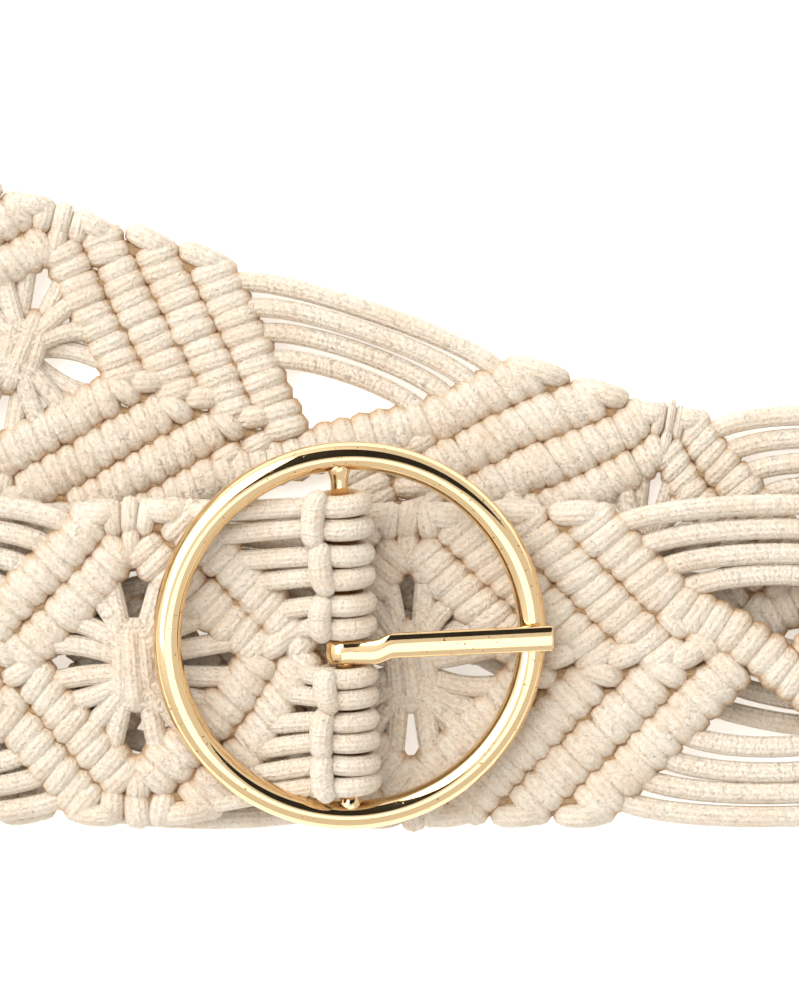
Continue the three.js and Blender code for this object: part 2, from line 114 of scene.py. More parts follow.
def make_lay():
    """Columns of the lying strap against u, the length along it: a centripetal Catmull-Rom curve
    through the route's points gives the middle, its derivative the way along, and the tilt the way
    across, square to it. Between the panel ends that have a place, u runs evenly with length."""
    per_row = 60  # steps from one row of the route to the next
    x, y, lift, tilt = ROUTE[:, :4].T
    lean = np.radians(tilt)
    rise = HALF_WIDTH * np.sin(lean) + RIDGE * np.cos(lean)
    points = np.stack([x * np.where(x < 0, LOOP_REACH, FOLD_REACH), y * 2 * HALF_WIDTH,
                       lift * (STRAP_THICK + LAYER_GAP) + rise], axis=1)
    ends = np.concatenate([[2 * points[0] - points[1]], points, [2 * points[-1] - points[-2]]])
    p0, p1, p2, p3 = ends[:-3, None], ends[1:-2, None], ends[2:-1, None], ends[3:, None]
    gap = [np.linalg.norm(b - a, axis=2, keepdims=True) ** 0.5 for a, b in ((p0, p1), (p1, p2), (p2, p3))]
    m1 = ((p1 - p0) / gap[0] - (p2 - p0) / (gap[0] + gap[1]) + (p2 - p1) / gap[1]) * gap[1]
    m2 = ((p2 - p1) / gap[1] - (p3 - p1) / (gap[1] + gap[2]) + (p3 - p2) / gap[2]) * gap[1]
    t = (np.arange(per_row) / per_row)[None, :, None]
    c2 = -3 * p1 + 3 * p2 - 2 * m1 - m2
    c3 = 2 * p1 - 2 * p2 + m1 + m2
    middle = (p1 + m1 * t + c2 * t ** 2 + c3 * t ** 3).reshape(-1, 3)
    along = (m1 + 2 * c2 * t + 3 * c3 * t ** 2).reshape(-1, 3)
    along /= np.linalg.norm(along, axis=1, keepdims=True)
    column = np.concatenate([ROUTE[:1, 3:5], ROUTE[:, 3:5], ROUTE[-1:, 3:5]])
    a, b, c, d = column[:-3, None], column[1:-2, None], column[2:-1, None], column[3:, None]
    value = 0.5 * (2 * b + (c - a) * t + (2 * a - 5 * b + 4 * c - d) * t ** 2
                   + (3 * b - a - 3 * c + d) * t ** 3)
    tilt, spread = value.reshape(-1, 2).T
    lean = np.radians(tilt)
    across = np.stack([0 * lean, np.cos(lean), np.sin(lean)], axis=1)
    across -= np.sum(across * along, axis=1, keepdims=True) * along
    across /= np.linalg.norm(across, axis=1, keepdims=True)
    out = np.cross(across, along)
    length = np.concatenate([[0], np.cumsum(np.linalg.norm(np.diff(middle, axis=0), axis=1))])
    pinned = np.flatnonzero(ROUTE[:, 5] >= 0)
    at = np.minimum(pinned * per_row, len(length) - 1)
    u = np.interp(length, length[at], panel_ends()[ROUTE[pinned, 5].astype(int)])
    return u, np.concatenate([middle, across * spread[:, None], out], axis=1)


LAY_U, LAY_COLUMNS = make_lay()


def lay(belt):
    """Belt coordinates in mm (u along, v across, w out of the strap) to millimetres on the surface:
    the middle at u, plus v times the way across, plus w times the way out."""
    u, v, w = np.moveaxis(np.asarray(belt, dtype=float), -1, 0)
    columns = np.stack([np.interp(u, LAY_U, LAY_COLUMNS[:, i]) for i in range(9)], axis=-1)
    return columns[..., :3] + columns[..., 3:6] * v[..., None] + columns[..., 6:] * w[..., None] + LAY_SHIFT


def unit(a):
    """Each vector divided by its length."""
    return a / np.maximum(np.linalg.norm(a, axis=-1, keepdims=True), 1e-9)


def rounded(angle, power):
    """Cosine and sine with their sizes raised to power: below 1 the circle grows fuller corners."""
    c, s = np.cos(angle), np.sin(angle)
    return np.sign(c) * np.abs(c) ** power, np.sign(s) * np.abs(s) ** power


def tubes(paths, radius, side, around=8, closed=False, wide=1.0):
    """Cords along paths (n, m, 3): at each point a circle in the plane square to the path, or an
    oval wide times wider along its first axis, which lies as near to side as it can. Gives points
    (n, m, around, 3)."""
    if closed:
        along = unit(np.roll(paths, -1, axis=1) - np.roll(paths, 1, axis=1))
    else:
        along = unit(np.gradient(paths, axis=1))
    side = np.broadcast_to(side, paths.shape)
    first = unit(side - np.sum(side * along, axis=-1, keepdims=True) * along)
    second = np.cross(along, first)
    angle = np.arange(around)[:, None] / around * 2 * np.pi
    radius = np.broadcast_to(radius, paths.shape[:2])[..., None, None]
    return paths[:, :, None] + radius * (wide * np.cos(angle) * first[:, :, None]
                                       + np.sin(angle) * second[:, :, None])


def tube_faces(count, stations, around, closed):
    """Quads between neighbouring circles, and their corners counted in stations and in steps
    around."""
    rings = stations if closed else stations - 1
    n, i, j = np.meshgrid(np.arange(count), np.arange(rings), np.arange(around), indexing="ij")

    def index(di, dj):
        return (n * stations + (i + di) % stations) * around + (j + dj) % around

    corners = [(0, 0), (1, 0), (1, 1), (0, 1)]
    quads = np.stack([index(*c) for c in corners], axis=-1).reshape(-1, 4)[:, ::-1]
    uv = np.stack([np.stack([i + di, j + dj], axis=-1) for di, dj in corners], axis=-2)
    return quads, uv.reshape(-1, 4, 2)[:, ::-1].astype(float)


# Two stitches of the braid along the cord and two around it, how many such pairs go round, and the
# most by which a cord's braid is shifted, in millimetres
STITCH_ALONG = 2.6
STITCH_AROUND = 2.1
STITCHES_ROUND = 6
UV_SHIFT = 40


class CordMesh:
    """Gathers cords into one mesh, with UVs in millimetres along and around each cord, and a shade
    from 0 on top of a turn to 1 down in the pits between turns."""

    def __init__(self):
        self.verts, self.quads, self.uvs, self.caps, self.shades, self.count = [], [], [], [], [], 0

    def add(self, points, shade, closed, seed):
        """Cords from tubes(): the braid's stitches fit a whole number of times round each of them,
        and every cord starts its braid at a place of its own."""
        n, m, k, _ = points.shape
        quads, uv = tube_faces(n, m, k, closed)
        step = np.linalg.norm(np.diff(points.mean(axis=2), axis=1), axis=-1).mean()
        if closed:
            step = max(round(step * m / STITCH_ALONG), 1) * STITCH_ALONG / m
        uv = uv * [step, STITCHES_ROUND * STITCH_AROUND / k]
        shift = np.random.default_rng(seed).uniform(0, UV_SHIFT, (n, 1, 1, 2))
        uv = (uv.reshape(n, len(quads) // n, 4, 2) + shift).reshape(-1, 4, 2)
        self.quads.append(quads + self.count)
        self.uvs.append(uv)
        self.verts.append(points.reshape(-1, 3))
        self.shades.append(np.broadcast_to(shade, points.shape[:3]).reshape(-1))
        if not closed:
            start = (np.arange(n) * m * k)[:, None] + self.count
            ring = np.arange(k)[None]
            self.caps += (start + ring).tolist()
            self.caps += (start + (m - 1) * k + ring[:, ::-1]).tolist()
        self.count += n * m * k

    def build(self, name, material):
        """Makes the object from what was added, with the end caps after the sides."""
        mesh = bpy.data.meshes.new(name)
        quads = np.concatenate(self.quads)
        mesh.from_pydata(np.concatenate(self.verts) / 1000, [], quads.tolist() + self.caps)
        layer = mesh.uv_layers.new(name="cord_mm")
        cap_loops = sum(len(cap) for cap in self.caps)
        uv = np.concatenate([np.concatenate(self.uvs).reshape(-1), np.zeros(2 * cap_loops)])
        layer.data.foreach_set("uv", uv)
        # This attribute holds painted shade, from 0 on top of a turn to 1 down in the pits.
        shade = mesh.attributes.new("crease_shade", "FLOAT", "POINT")
        shade.data.foreach_set("value", np.concatenate(self.shades).astype(np.float32))
        mesh.shade_smooth()
        mesh.materials.append(material)
        piece = bpy.data.objects.new(name, mesh)
        bpy.context.scene.collection.objects.link(piece)
        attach(piece, "belt")
        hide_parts("strap")


def linear(code):
    """sRGB hex to linear RGBA."""
    c = np.array([int(code[i:i + 2], 16) / 255 for i in (1, 3, 5)])
    c = np.where(c <= 0.04045, c / 12.92, ((c + 0.055) / 1.055) ** 2.4)
    return (*c.tolist(), 1.0)


def node(tree, kind, settings=None, inputs=None):
    """One node: settings are its own properties, inputs its sockets, each a value or another
    node's output."""
    made = tree.nodes.new(kind)
    for key, value in (settings or {}).items():
        setattr(made, key, value)
    for key, value in (inputs or {}).items():
        socket = made.inputs[key]
        if isinstance(value, bpy.types.NodeSocket):
            tree.links.new(value, socket)
        else:
            socket.default_value = value
    return made


def braided_cotton(name, light, crease_shade, pit_shade_and_speck):
    """Natural cotton cord with a braided cover: matt and a little furry, cream, with painted shade that is
    tan in the creases and between the braid's stitches and brown down in the pits. Random patches of tan tone
    and the small specks of unbleached cotton are the cord's own. One stitch of the braid is 1.3 mm long and 1
    mm wide, read from the cord's own UVs in millimetres."""
    material = bpy.data.materials.new(name)
    material.use_nodes = True
    tree = material.node_tree
    shader = tree.nodes["Principled BSDF"]
    place = node(tree, "ShaderNodeTexCoord").outputs["Object"]
    uv = node(tree, "ShaderNodeUVMap", {"uv_map": "cord_mm"}).outputs[0]
    part = node(tree, "ShaderNodeSeparateXYZ", {}, {0: uv})

    # Height: the stitches are the product of two crossing sines, pushed about by noise, with the
    # fibres' fine noise on top.
    wobble = node(tree, "ShaderNodeTexNoise", {}, {"Vector": place, "Scale": 420.0, "Detail": 2.0}).outputs[0]
    slip = node(tree, "ShaderNodeMath", {"operation": "MULTIPLY"}, {0: wobble, 1: 11.0}).outputs[0]
    along = node(tree, "ShaderNodeMath", {"operation": "MULTIPLY_ADD"},
                 {0: part.outputs[0], 1: 2 * math.pi / STITCH_ALONG, 2: slip}).outputs[0]
    around = node(tree, "ShaderNodeMath", {"operation": "MULTIPLY"},
                  {0: part.outputs[1], 1: 2 * math.pi / STITCH_AROUND}).outputs[0]
    plus = node(tree, "ShaderNodeMath", {"operation": "ADD"}, {0: along, 1: around}).outputs[0]
    minus = node(tree, "ShaderNodeMath", {"operation": "SUBTRACT"}, {0: along, 1: around}).outputs[0]
    one = node(tree, "ShaderNodeMath", {"operation": "SINE"}, {0: plus}).outputs[0]
    two = node(tree, "ShaderNodeMath", {"operation": "SINE"}, {0: minus}).outputs[0]
    braid = node(tree, "ShaderNodeMath", {"operation": "MULTIPLY"}, {0: one, 1: two}).outputs[0]
    fibre = node(tree, "ShaderNodeTexNoise", {}, {"Vector": place, "Scale": 1900.0, "Detail": 3.0,
                                                  "Roughness": 0.75}).outputs[0]
    furry = node(tree, "ShaderNodeMath", {"operation": "MULTIPLY"}, {0: fibre, 1: 2.2}).outputs[0]
    height = node(tree, "ShaderNodeMath", {"operation": "MULTIPLY_ADD"},
                  {0: braid, 1: 0.5, 2: furry}).outputs[0]
    bump = node(tree, "ShaderNodeBump", {}, {"Strength": 1.0, "Distance": 0.0004, "Height": height})
    tree.links.new(bump.outputs[0], shader.inputs["Normal"])

    # Colour: light cord, then tan, which is painted shade in the creases and between the braid's stitches and
    # also random patches of the cord's own tone, then brown, which is painted shade down in the pits and also
    # the cord's own specks.
    depth = node(tree, "ShaderNodeAttribute", {"attribute_name": "crease_shade"}).outputs["Fac"]
    low = node(tree, "ShaderNodeMapRange", {"interpolation_type": "SMOOTHSTEP"},
               {"Value": depth, "From Min": 0.2, "From Max": 0.75}).outputs[0]
    pit_shade = node(tree, "ShaderNodeMapRange", {"interpolation_type": "SMOOTHSTEP"},
               {"Value": depth, "From Min": 0.62, "From Max": 1.0}).outputs[0]
    patch = node(tree, "ShaderNodeTexNoise", {}, {"Vector": place, "Scale": 110.0, "Detail": 2.0}).outputs[0]
    patch = node(tree, "ShaderNodeMapRange", {}, {"Value": patch, "From Min": 0.4, "From Max": 0.75,
                                                  "To Max": 0.3}).outputs[0]
    lines = node(tree, "ShaderNodeMapRange", {}, {"Value": height, "From Min": 1.15, "From Max": 0.6,
                                                  "To Max": 0.42}).outputs[0]
    speck = node(tree, "ShaderNodeTexNoise", {}, {"Vector": place, "Scale": 1500.0, "Detail": 1.0}).outputs[0]
    speck = node(tree, "ShaderNodeMapRange", {}, {"Value": speck, "From Min": 0.68, "From Max": 0.8,
                                                  "To Max": 0.5}).outputs[0]
    tone = linear(light)
    for share, colour in ((low, crease_shade), (patch, crease_shade), (lines, crease_shade), (pit_shade, pit_shade_and_speck), (speck, pit_shade_and_speck)):
        mix = node(tree, "ShaderNodeMix", {"data_type": "RGBA"},
                   {"Factor": share, "A": tone, "B": linear(colour)})
        tone = mix.outputs["Result"]
    tree.links.new(tone, shader.inputs["Base Color"])
    shader.inputs["Roughness"].default_value = 0.92
    shader.inputs["Specular IOR Level"].default_value = 0.2
    shader.inputs["Sheen Weight"].default_value = 0.15
    shader.inputs["Sheen Roughness"].default_value = 0.5
    return material


# The tan colour is painted shade in the creases and also patches of the cord's own tone. The brown colour is
# painted shade in the pits and also real specks.
natural_cotton = braided_cotton("natural_braided_cotton", "#FBF0DF", "#E2BC90", "#74522F")

# One turn of cord round the strap: its cord, then the oval that the cord's middle line follows
TURN_RADIUS = 2.1
TURN_WIDE = 1.2
TURN_HIGH = RIDGE - TURN_RADIUS
TURN_HALF = 2.9
TURN_POWER = 0.92

# Turns in a row, from the middle line outwards
TURN_PITCH = 3.46
FIRST_TURN = 5.7
PAIRING = 0.1
TURN_LEAN = 7
LEAN_BOTH = -3
ROW_END = HALF_WIDTH - 1.6
BEFORE_STAR = 1.6
BEFORE_EDGE = 1.9
SLANT = math.hypot(1, ROW_SLOPE)

# The shade of a turn: none above LIT_HEIGHT, then more by one for each SHADE_DEPTH further down,
# at most SHADE_MOST, and only part of that over the last EDGE_BLEND before EDGE_LIT
LIT_HEIGHT = 3.3
SHADE_DEPTH = 2.6
SHADE_MOST = 0.74
EDGE_LIT = HALF_WIDTH + 1.2
EDGE_BLEND = 3

# Distance from the star, and where beside the bar it comes to lie
BESIDE_BAR = np.array([[0, 0], [17, 19.95], [34.03, 34.03], [39.7, 36.0], [60, 50]]).T
ENDS = panel_ends()


def panels():
    """Each panel with its rows, its star's place and the way it runs from the star."""
    for i, rows in enumerate(PANEL_ROWS):
        star_first = i % 2 == 1
        star = ENDS[i] if star_first else ENDS[i + 1]
        yield i, rows, star, 1 if star_first else -1


def along_panel(i, star, direction, x):
    """Distance x from the star to u. Beside the bar the rows close up to leave the loops their room."""
    return star + direction * (np.interp(x, *BESIDE_BAR) if i == 0 else x)


def has_crossing(i):
    """Whether a panel ends in a crossing, and not at the bar or the free end."""
    return 0 < i < len(PANEL_ROWS) - 1


def ovals(centre, way, half, high, stations=12):
    """Closed loops (n, m, 3) standing across the strap: from each centre, half the rounded cosine
    along its way and high times the rounded sine out of the strap; and the way across each."""
    c, s = rounded(np.arange(stations) / stations * 2 * np.pi, TURN_POWER)
    way = unit(way)
    loop = centre[:, None] + c[None, :, None] * (way * np.broadcast_to(half, len(way))[:, None])[:, None]
    loop = loop + s[None, :, None] * np.array([0, 0, 1.0]) * np.broadcast_to(high, len(way))[:, None, None]
    across = np.stack([-way[:, 1], way[:, 0], 0 * way[:, 0]], axis=1)
    return loop, across[:, None] + 0 * loop


def add_turns(cords, i, star, direction, loop, across, radius, wide, seed):
    """Lays ovals given in distances from the star on the strap, as turns of cord. The shade grows
    with the depth below the crest of the rows, and fades at the strap's edges, which see light."""
    loop[..., 0] = along_panel(i, star, direction, loop[..., 0])
    across[..., 0] *= direction
    points = tubes(loop, radius, across, around=8, closed=True, wide=wide)
    deep = np.clip((LIT_HEIGHT - np.abs(points[..., 2])) / SHADE_DEPTH, 0, SHADE_MOST)
    inward = np.clip((EDGE_LIT - np.abs(points[..., 1])) / EDGE_BLEND, 0.1, 1)
    cords.add(lay(points), deep * inward, True, seed)


def row_turns(i, rows, direction):
    """Centres and ways of the turns of one panel: in a row they follow each other at even steps
    along its slant, two by two a little closer, with the long way square to the row but for a few
    degrees of lean. One side's rows begin a turn nearer the middle line, and of the two last rows
    at a crossing one stops short, where the line of turns through the crossing takes over."""
    rng = np.random.default_rng(100 + i)
    centres, ways = [], []
    for side in (1, -1):
        for k in range(rows):
            start = STAR_HALF + (k + 0.5) * ROW_PITCH
            reach = min(start / ROW_SLOPE - BEFORE_STAR, ROW_END - BEFORE_EDGE) * SLANT
            last = k == rows - 1 and has_crossing(i)
            first = 4 if last and side == -direction else -1 if last or side > 0 else 0
            j = np.arange(first, int((reach - FIRST_TURN) / TURN_PITCH + 1e-6) + 1)
            closer = np.where(j % 2 == 0, PAIRING, -PAIRING)
            place = FIRST_TURN + j * TURN_PITCH + closer + rng.normal(0, 0.09, len(j))
            v = place / SLANT
            x = start - v * ROW_SLOPE + rng.normal(0, 0.16, len(j))
            lean = np.radians(TURN_LEAN * side + LEAN_BOTH + rng.normal(0, 4.0, len(j)))
            direct = math.atan2(ROW_SLOPE, 1) - lean
            centres.append(np.stack([x, side * v, 0 * v], axis=1))
            ways.append(np.stack([np.cos(direct), side * np.sin(direct), 0 * v], axis=1))
    return np.concatenate(centres), np.concatenate(ways)


row_meshes = {}
for i, rows, star, direction in panels():
    cords = row_meshes.setdefault(i // 3, CordMesh())
    centres, ways = row_turns(i, rows, direction)
    rng = np.random.default_rng(200 + i)
    half = TURN_HALF + rng.normal(0, 0.12, len(ways))
    high = TURN_HIGH + rng.normal(0, 0.1, len(ways))
    add_turns(cords, i, star, direction, *ovals(centres, ways, half, high), TURN_RADIUS, TURN_WIDE, i)
for n, cords in row_meshes.items():
    cords.build(f"strap_rows_{n + 1}", natural_cotton)


# Strap: turns on the middle line, at the edges and in the crossings
# Leading cords that meet on the middle line are hitched to each other, at the edges they turn back
# to the next row, and in a crossing one of them runs on through the others, from row to row.

# The egg shapes, the ovals at the edges, what both have in common, and the line through a crossing
EGG_HALF = 2.2
EGG_RADIUS = 2.3
EGG_SIDE = 1.7
EGG_SLANT = 25
EDGE_HALF = 3.0
EDGE_RADIUS = 2.15
SINGLE_WIDE = 1.08
SINGLE_LIFT = 0.4
CROSSING_REACH = 13.6
CROSSING_TURNS = 14
CROSSING_BLEND = 14


def middle_turns(rows, crossing):
    """Egg shapes two to a row, on alternate sides of the middle line and slanting away from it."""
    k = np.arange(2 * rows - (2 if crossing else 1))
    side = np.where(k % 2 == 0, -1, 1)
    slant = np.radians(EGG_SLANT) * side
    x = STAR_HALF + (k / 2 + 0.37 - 0.07 * side) * ROW_PITCH
    centre = np.stack([x, EGG_SIDE * side, 0 * slant], axis=1)
    return centre, np.stack([np.cos(slant), np.sin(slant), 0 * slant], axis=1)


def edge_turns(rows):
    """Ovals along both edges, one past the end of each row that reaches the edge."""
    start = STAR_HALF + (np.arange(1, rows) + 0.5) * ROW_PITCH
    centre = np.stack([start - (ROW_END - 0.2) * ROW_SLOPE - 0.4, ROW_END + 0 * start, 0 * start], axis=1)
    centre = np.concatenate([centre, centre * [1, -1, 1]])
    return centre, np.stack([np.ones(len(centre)), -0.1 * np.sign(centre[:, 1]), 0 * centre[:, 0]], axis=1)


def crossing_turns():
    """Turns along one slanting line through a crossing: it runs at the slope of the rows, and moves
    over from one panel's last row to the other's by a smooth step on either side."""
    v = np.linspace(-CROSSING_REACH, CROSSING_REACH, 400)
    share = np.clip(np.abs(v) / CROSSING_BLEND, 0, 1)
    x = ROW_SLOPE * v + np.sign(v) * (CROSSING_MARGIN + ROW_PITCH / 2) * share ** 2 * (3 - 2 * share)
    length = np.concatenate([[0], np.cumsum(np.hypot(np.diff(x), np.diff(v)))])
    at = np.linspace(0, length[-1], CROSSING_TURNS)
    x, v = np.interp(at, length, x), np.interp(at, length, v)
    way = np.stack([np.gradient(v), -np.gradient(x), 0 * v], axis=1)
    return np.stack([x, v, 0 * v], axis=1), way


# Between that line and the row before it, two more turns on either side lie along the rows.
BESIDE_CROSSING = np.array([[12.2, 3.4, 0], [17.2, 7.8, 0], [-12.2, -3.4, 0], [-17.2, -7.8, 0]])

# Beside a star, at both edges, turns across the strap: their centres, and half their lengths
BESIDE_STAR = np.array([[x, side * v, 0] for side in (1, -1)
                        for x, v in ((-4, 28.1), (0, 28.6), (4, 28.0), (0, 23.6))])
BESIDE_STAR_HALF = np.tile([1.9, 2.1, 1.9, 2.0], 2)

knots = CordMesh()
for i, rows, star, direction in panels():
    rng = np.random.default_rng(300 + i)
    for turns, half, radius in ((middle_turns(rows, has_crossing(i)), EGG_HALF, EGG_RADIUS),
                                (edge_turns(rows), EDGE_HALF, EDGE_RADIUS)):
        centres, ways = turns
        if len(centres):
            centres[:, :2] += rng.normal(0, 0.2, (len(centres), 2))
            ways[:, :2] += rng.normal(0, 0.08, (len(centres), 2))
            loop, across = ovals(centres, ways, half, RIDGE - radius + SINGLE_LIFT)
            add_turns(knots, i, star, direction, loop, across, radius, SINGLE_WIDE, 400 + i)
    if i % 2 == 1:
        centres = BESIDE_STAR.copy()
        centres[:, :2] += rng.normal(0, 0.2, (8, 2))
        ways = np.stack([rng.normal(0, 0.12, 8), np.ones(8), np.zeros(8)], axis=1)
        loop, across = ovals(centres, ways, BESIDE_STAR_HALF, TURN_HIGH)
        add_turns(knots, -1, star, 1, loop, across, TURN_RADIUS, 1.1, 450 + i)
    elif i > 0:
        centres, ways = crossing_turns()
        centres[:, :2] += rng.normal(0, 0.12, (len(centres), 2))
        loop, across = ovals(centres, ways, TURN_HALF, TURN_HIGH)
        add_turns(knots, -1, ENDS[i], 1, loop, across, TURN_RADIUS, TURN_WIDE, 480 + i)
        loop, across = ovals(BESIDE_CROSSING, np.array([[ROW_SLOPE, 1, 0]] * 4), 2.0, 1.4)
        add_turns(knots, -1, ENDS[i], 1, loop, across, TURN_RADIUS, 1.1, 500 + i)
knots.build("strap_single_turns", natural_cotton)


# Strap: cords inside the rows
# The leading cord of each row and the cords that pass from row to row. They are buried in the turns and show
# only as darker cord down in the pits between them, in a darker copy of the cotton that is painted shade.

LEADING_RADIUS = 1.9
PASSING_RADIUS = 1.6
PASSING_WIDE = 1.3
PASSING_PITCH = 4.1
INNER_SHADE = 0.5

# A darker copy of the natural cotton: painted shade for the buried cords.
shaded_cotton = braided_cotton("natural_braided_cotton_in_shade", "#D8BB94", "#B28A5E", "#7A5836")
inner = CordMesh()
out_of_strap = np.array([0, 0, 1.0])
for i, rows, star, direction in panels():
    share = np.linspace(0, 1, 9)
    for side in (1, -1):
        start = (STAR_HALF + (np.arange(rows) + 0.5) * ROW_PITCH)[:, None]
        v = np.minimum(start / ROW_SLOPE - 1.8, ROW_END) * share
        path = np.stack([along_panel(i, star, direction, start - v * ROW_SLOPE), side * v, 0 * v], axis=-1)
        leading = tubes(path, LEADING_RADIUS, out_of_strap, around=6)
        inner.add(lay(leading), INNER_SHADE, False, 600 + i)
        v = (np.arange(7) + 0.5)[:, None] * PASSING_PITCH + 0 * share
        near = np.maximum(STAR_HALF + 0.5 * ROW_PITCH - v * ROW_SLOPE, 0)
        far = STAR_HALF + (rows - 0.5) * ROW_PITCH - v * ROW_SLOPE
        u = along_panel(i, star, direction, near + (far - near) * share)
        passing = tubes(np.stack([u, side * v, 0 * v], axis=-1), PASSING_RADIUS, out_of_strap,
                        around=6, wide=PASSING_WIDE)
        inner.add(lay(passing), INNER_SHADE, False, 620 + i)
inner.build("strap_inner_cords", shaded_cotton)


# Strap: stars
# In the middle of each diamond the cords leave the first row free, run together like the rays of
# a star and pass through one square knot, whose outer cords lie across the others.

# Each ray's distance from the middle line in the first row and in the knot, and its height there
RAY_TARGETS = np.array([3.5, 8.2, 12.7, 17.2, 8.6, 13.2])
RAY_KNOT = np.array([1.3, 3.5, 5.5, 7.2, 2.4, 5.0])
RAY_LIFT = np.array([1.1, 1.3, 1.2, 0.8, -1.9, -1.8])
RAY_RADIUS = 2.05
KNOT_EDGE = 2.3
KNOT_SHARE = 0.25

# The three cords across the knot: place along the strap, half length and height
KNOT_PLACE = np.array([-2.4, 0.2, 2.5])
KNOT_HALF = np.array([5.9, 7.4, 6.1])
KNOT_HIGH = np.array([2.1, 2.6, 2.2])
KNOT_RADIUS = 1.9


def star_rays(star, stretch, seed):
    """Twelve cords, six on each side of the middle line, four of them above the other two: level
    through the knot, then each straight to its place in the first row with a slight bow. Before
    the star they reach stretch times as far."""
    rng = np.random.default_rng(seed)
    s = np.linspace(-1, 1, 23)
    inside = np.clip(np.abs(s) / KNOT_SHARE, 0, 1)
    ray = np.clip((np.abs(s) - KNOT_SHARE) / (1 - KNOT_SHARE), 0, 1)
    paths = []
    for side in (1, -1):
        knot = RAY_KNOT + rng.normal(0, 0.15, 6)
        bow = rng.normal(0.5, 0.5, (6, 2))
        ends = RAY_TARGETS[:, None] + rng.normal(0, 0.45, (6, 2))
        target = np.where(s < 0, ends[:, :1], ends[:, 1:])
        reach = STAR_HALF + 2.6 - target * ROW_SLOPE
        x = np.sign(s) * (KNOT_EDGE * inside + (reach - KNOT_EDGE) * ray) * np.where(s < 0, stretch, 1)
        bent = np.where(s < 0, bow[:, :1], bow[:, 1:]) * np.sin(np.pi * ray)
        v = knot[:, None] + (target - knot[:, None]) * ray + bent
        w = RAY_LIFT[:, None] * (1 - 0.75 * ray) + 0 * x
        paths.append(np.stack([star + x, side * v, w], axis=-1))
    return np.concatenate(paths)


stars = CordMesh()
for i in range(1, len(PANEL_ROWS), 2):
    rng = np.random.default_rng(750 + i)
    stretch = BESIDE_BAR[1, 1] / STAR_HALF if i == 1 else 1
    points = tubes(star_rays(ENDS[i], stretch, i), RAY_RADIUS, out_of_strap, around=10)
    # Painted shade on the rays, growing as they go down toward the strap's middle.
    stars.add(lay(points), np.clip(0.32 - np.abs(points[..., 2]) * 0.14, 0.05, 0.7), False, 700 + i)
    wide = rng.uniform(0.85, 1.3)
    centres = np.stack([KNOT_PLACE * wide, rng.normal(0, 0.6, 3), [0, 0, 0]], axis=1)
    ways = np.stack([rng.normal(0, 0.12, 3), np.ones(3), np.zeros(3)], axis=1)
    loop, across = ovals(centres, ways, KNOT_HALF + rng.normal(0, 0.3, 3), KNOT_HIGH, 18)
    add_turns(stars, -1, ENDS[i], 1, loop, across, KNOT_RADIUS, 1.1, 760 + i)
stars.build("strap_stars", natural_cotton)


# Strap: arcs beside the crossings
# On each side of a crossing four cords run free from one diamond to the next, in arcs one
# outside the other.

ARC_FROM = np.array([0.44, 0.585, 0.725, 0.87]) * HALF_WIDTH
ARC_MIDDLE = np.array([0.54, 0.685, 0.83, 0.98]) * HALF_WIDTH
ARC_RADIUS = 2.12
ARC_INTO_ROW = 3.4
ARC_POWER = 0.6
ARC_DIP = 0.075

arcs = CordMesh()
for i in range(2, len(PANEL_ROWS) - 1, 2):
    rng = np.random.default_rng(800 + i)
    share = np.linspace(-1, 1, 25)
    for side in (1, -1):
        end = (CROSSING_MARGIN + ARC_FROM * ROW_SLOPE + ARC_INTO_ROW)[:, None]
        rise = np.cos(share * np.pi / 2).clip(0) ** ARC_POWER
        dip = ARC_DIP * end * (1 - rise) ** 2
        v = (ARC_FROM[:, None] + (ARC_MIDDLE - ARC_FROM)[:, None] * rise - dip
             + rng.normal(0, 0.25, (4, 1)) * rise)
        w = rng.normal(0, 0.35, (4, 1)) * rise
        path = np.stack([ENDS[i] + end * share, side * v, w + 0 * v], axis=-1)
        # Painted shade where the arcs' ends go into the rows.
        shade = np.clip(0.12 + 0.5 * (np.abs(share)[None, :, None] - 0.8) / 0.2, 0.12, 0.6)
        arcs.add(lay(tubes(path, ARC_RADIUS, out_of_strap, around=10)), shade, False, 820 + i)
arcs.build("strap_arcs", natural_cotton)


# Loops on the bar
# Each pair of cords starts as one folded cord looped over the bar: two turns side by side round
# the bar, and the fold lying across them on the strap's side. Three loops each side of the tongue.

RING_OUTER = 75.5
RING_WIRE = 5.5
BAR_RADIUS = 1.7
BAR_OFFSET = 1.0
TONGUE_WIDTH = 4.8
TONGUE_OFFSET = 1.4
TONGUE_JOG = 1.2
FIT = 0.3
LOOP_OUTER = BAR_RADIUS + FIT + CORD
LOOP_WIDTH = 2 * CORD
BUCKLE_TURN = np.radians([9.5, 4.2, 1.9])
BUCKLE_LIFT = 23.5
FIRST_LOOP = TONGUE_WIDTH / 2 + 2 * FIT + LOOP_WIDTH / 2
BAR_ROOM = math.sqrt((RING_OUTER / 2 - RING_WIRE) ** 2 - (LOOP_OUTER + BAR_OFFSET) ** 2) - 3 * FIT
ROOT_OFFSET = TONGUE_OFFSET + TONGUE_JOG
LOOP_GAP = 1.6
UPPER_PITCH = LOOP_WIDTH + LOOP_GAP
LOWER_PITCH = (BAR_ROOM - ROOT_OFFSET - LOOP_WIDTH / 2 - FIRST_LOOP) / 2


def buckle_matrix():
    """Turn about the buckle's own X, then Y, then Z, as one matrix."""
    (a, b, c), (d, e, f) = np.cos(BUCKLE_TURN), np.sin(BUCKLE_TURN)
    turn_x = np.array([[1, 0, 0], [0, a, -d], [0, d, a]])
    turn_y = np.array([[b, 0, e], [0, 1, 0], [-e, 0, b]])
    turn_z = np.array([[c, -f, 0], [f, c, 0], [0, 0, 1]])
    return turn_x @ turn_y @ turn_z


BUCKLE = buckle_matrix()


def on_buckle(points):
    """Millimetres in the buckle's own frame to millimetres on the surface."""
    return points @ BUCKLE.T + [0, 0, BUCKLE_LIFT] + LAY_SHIFT


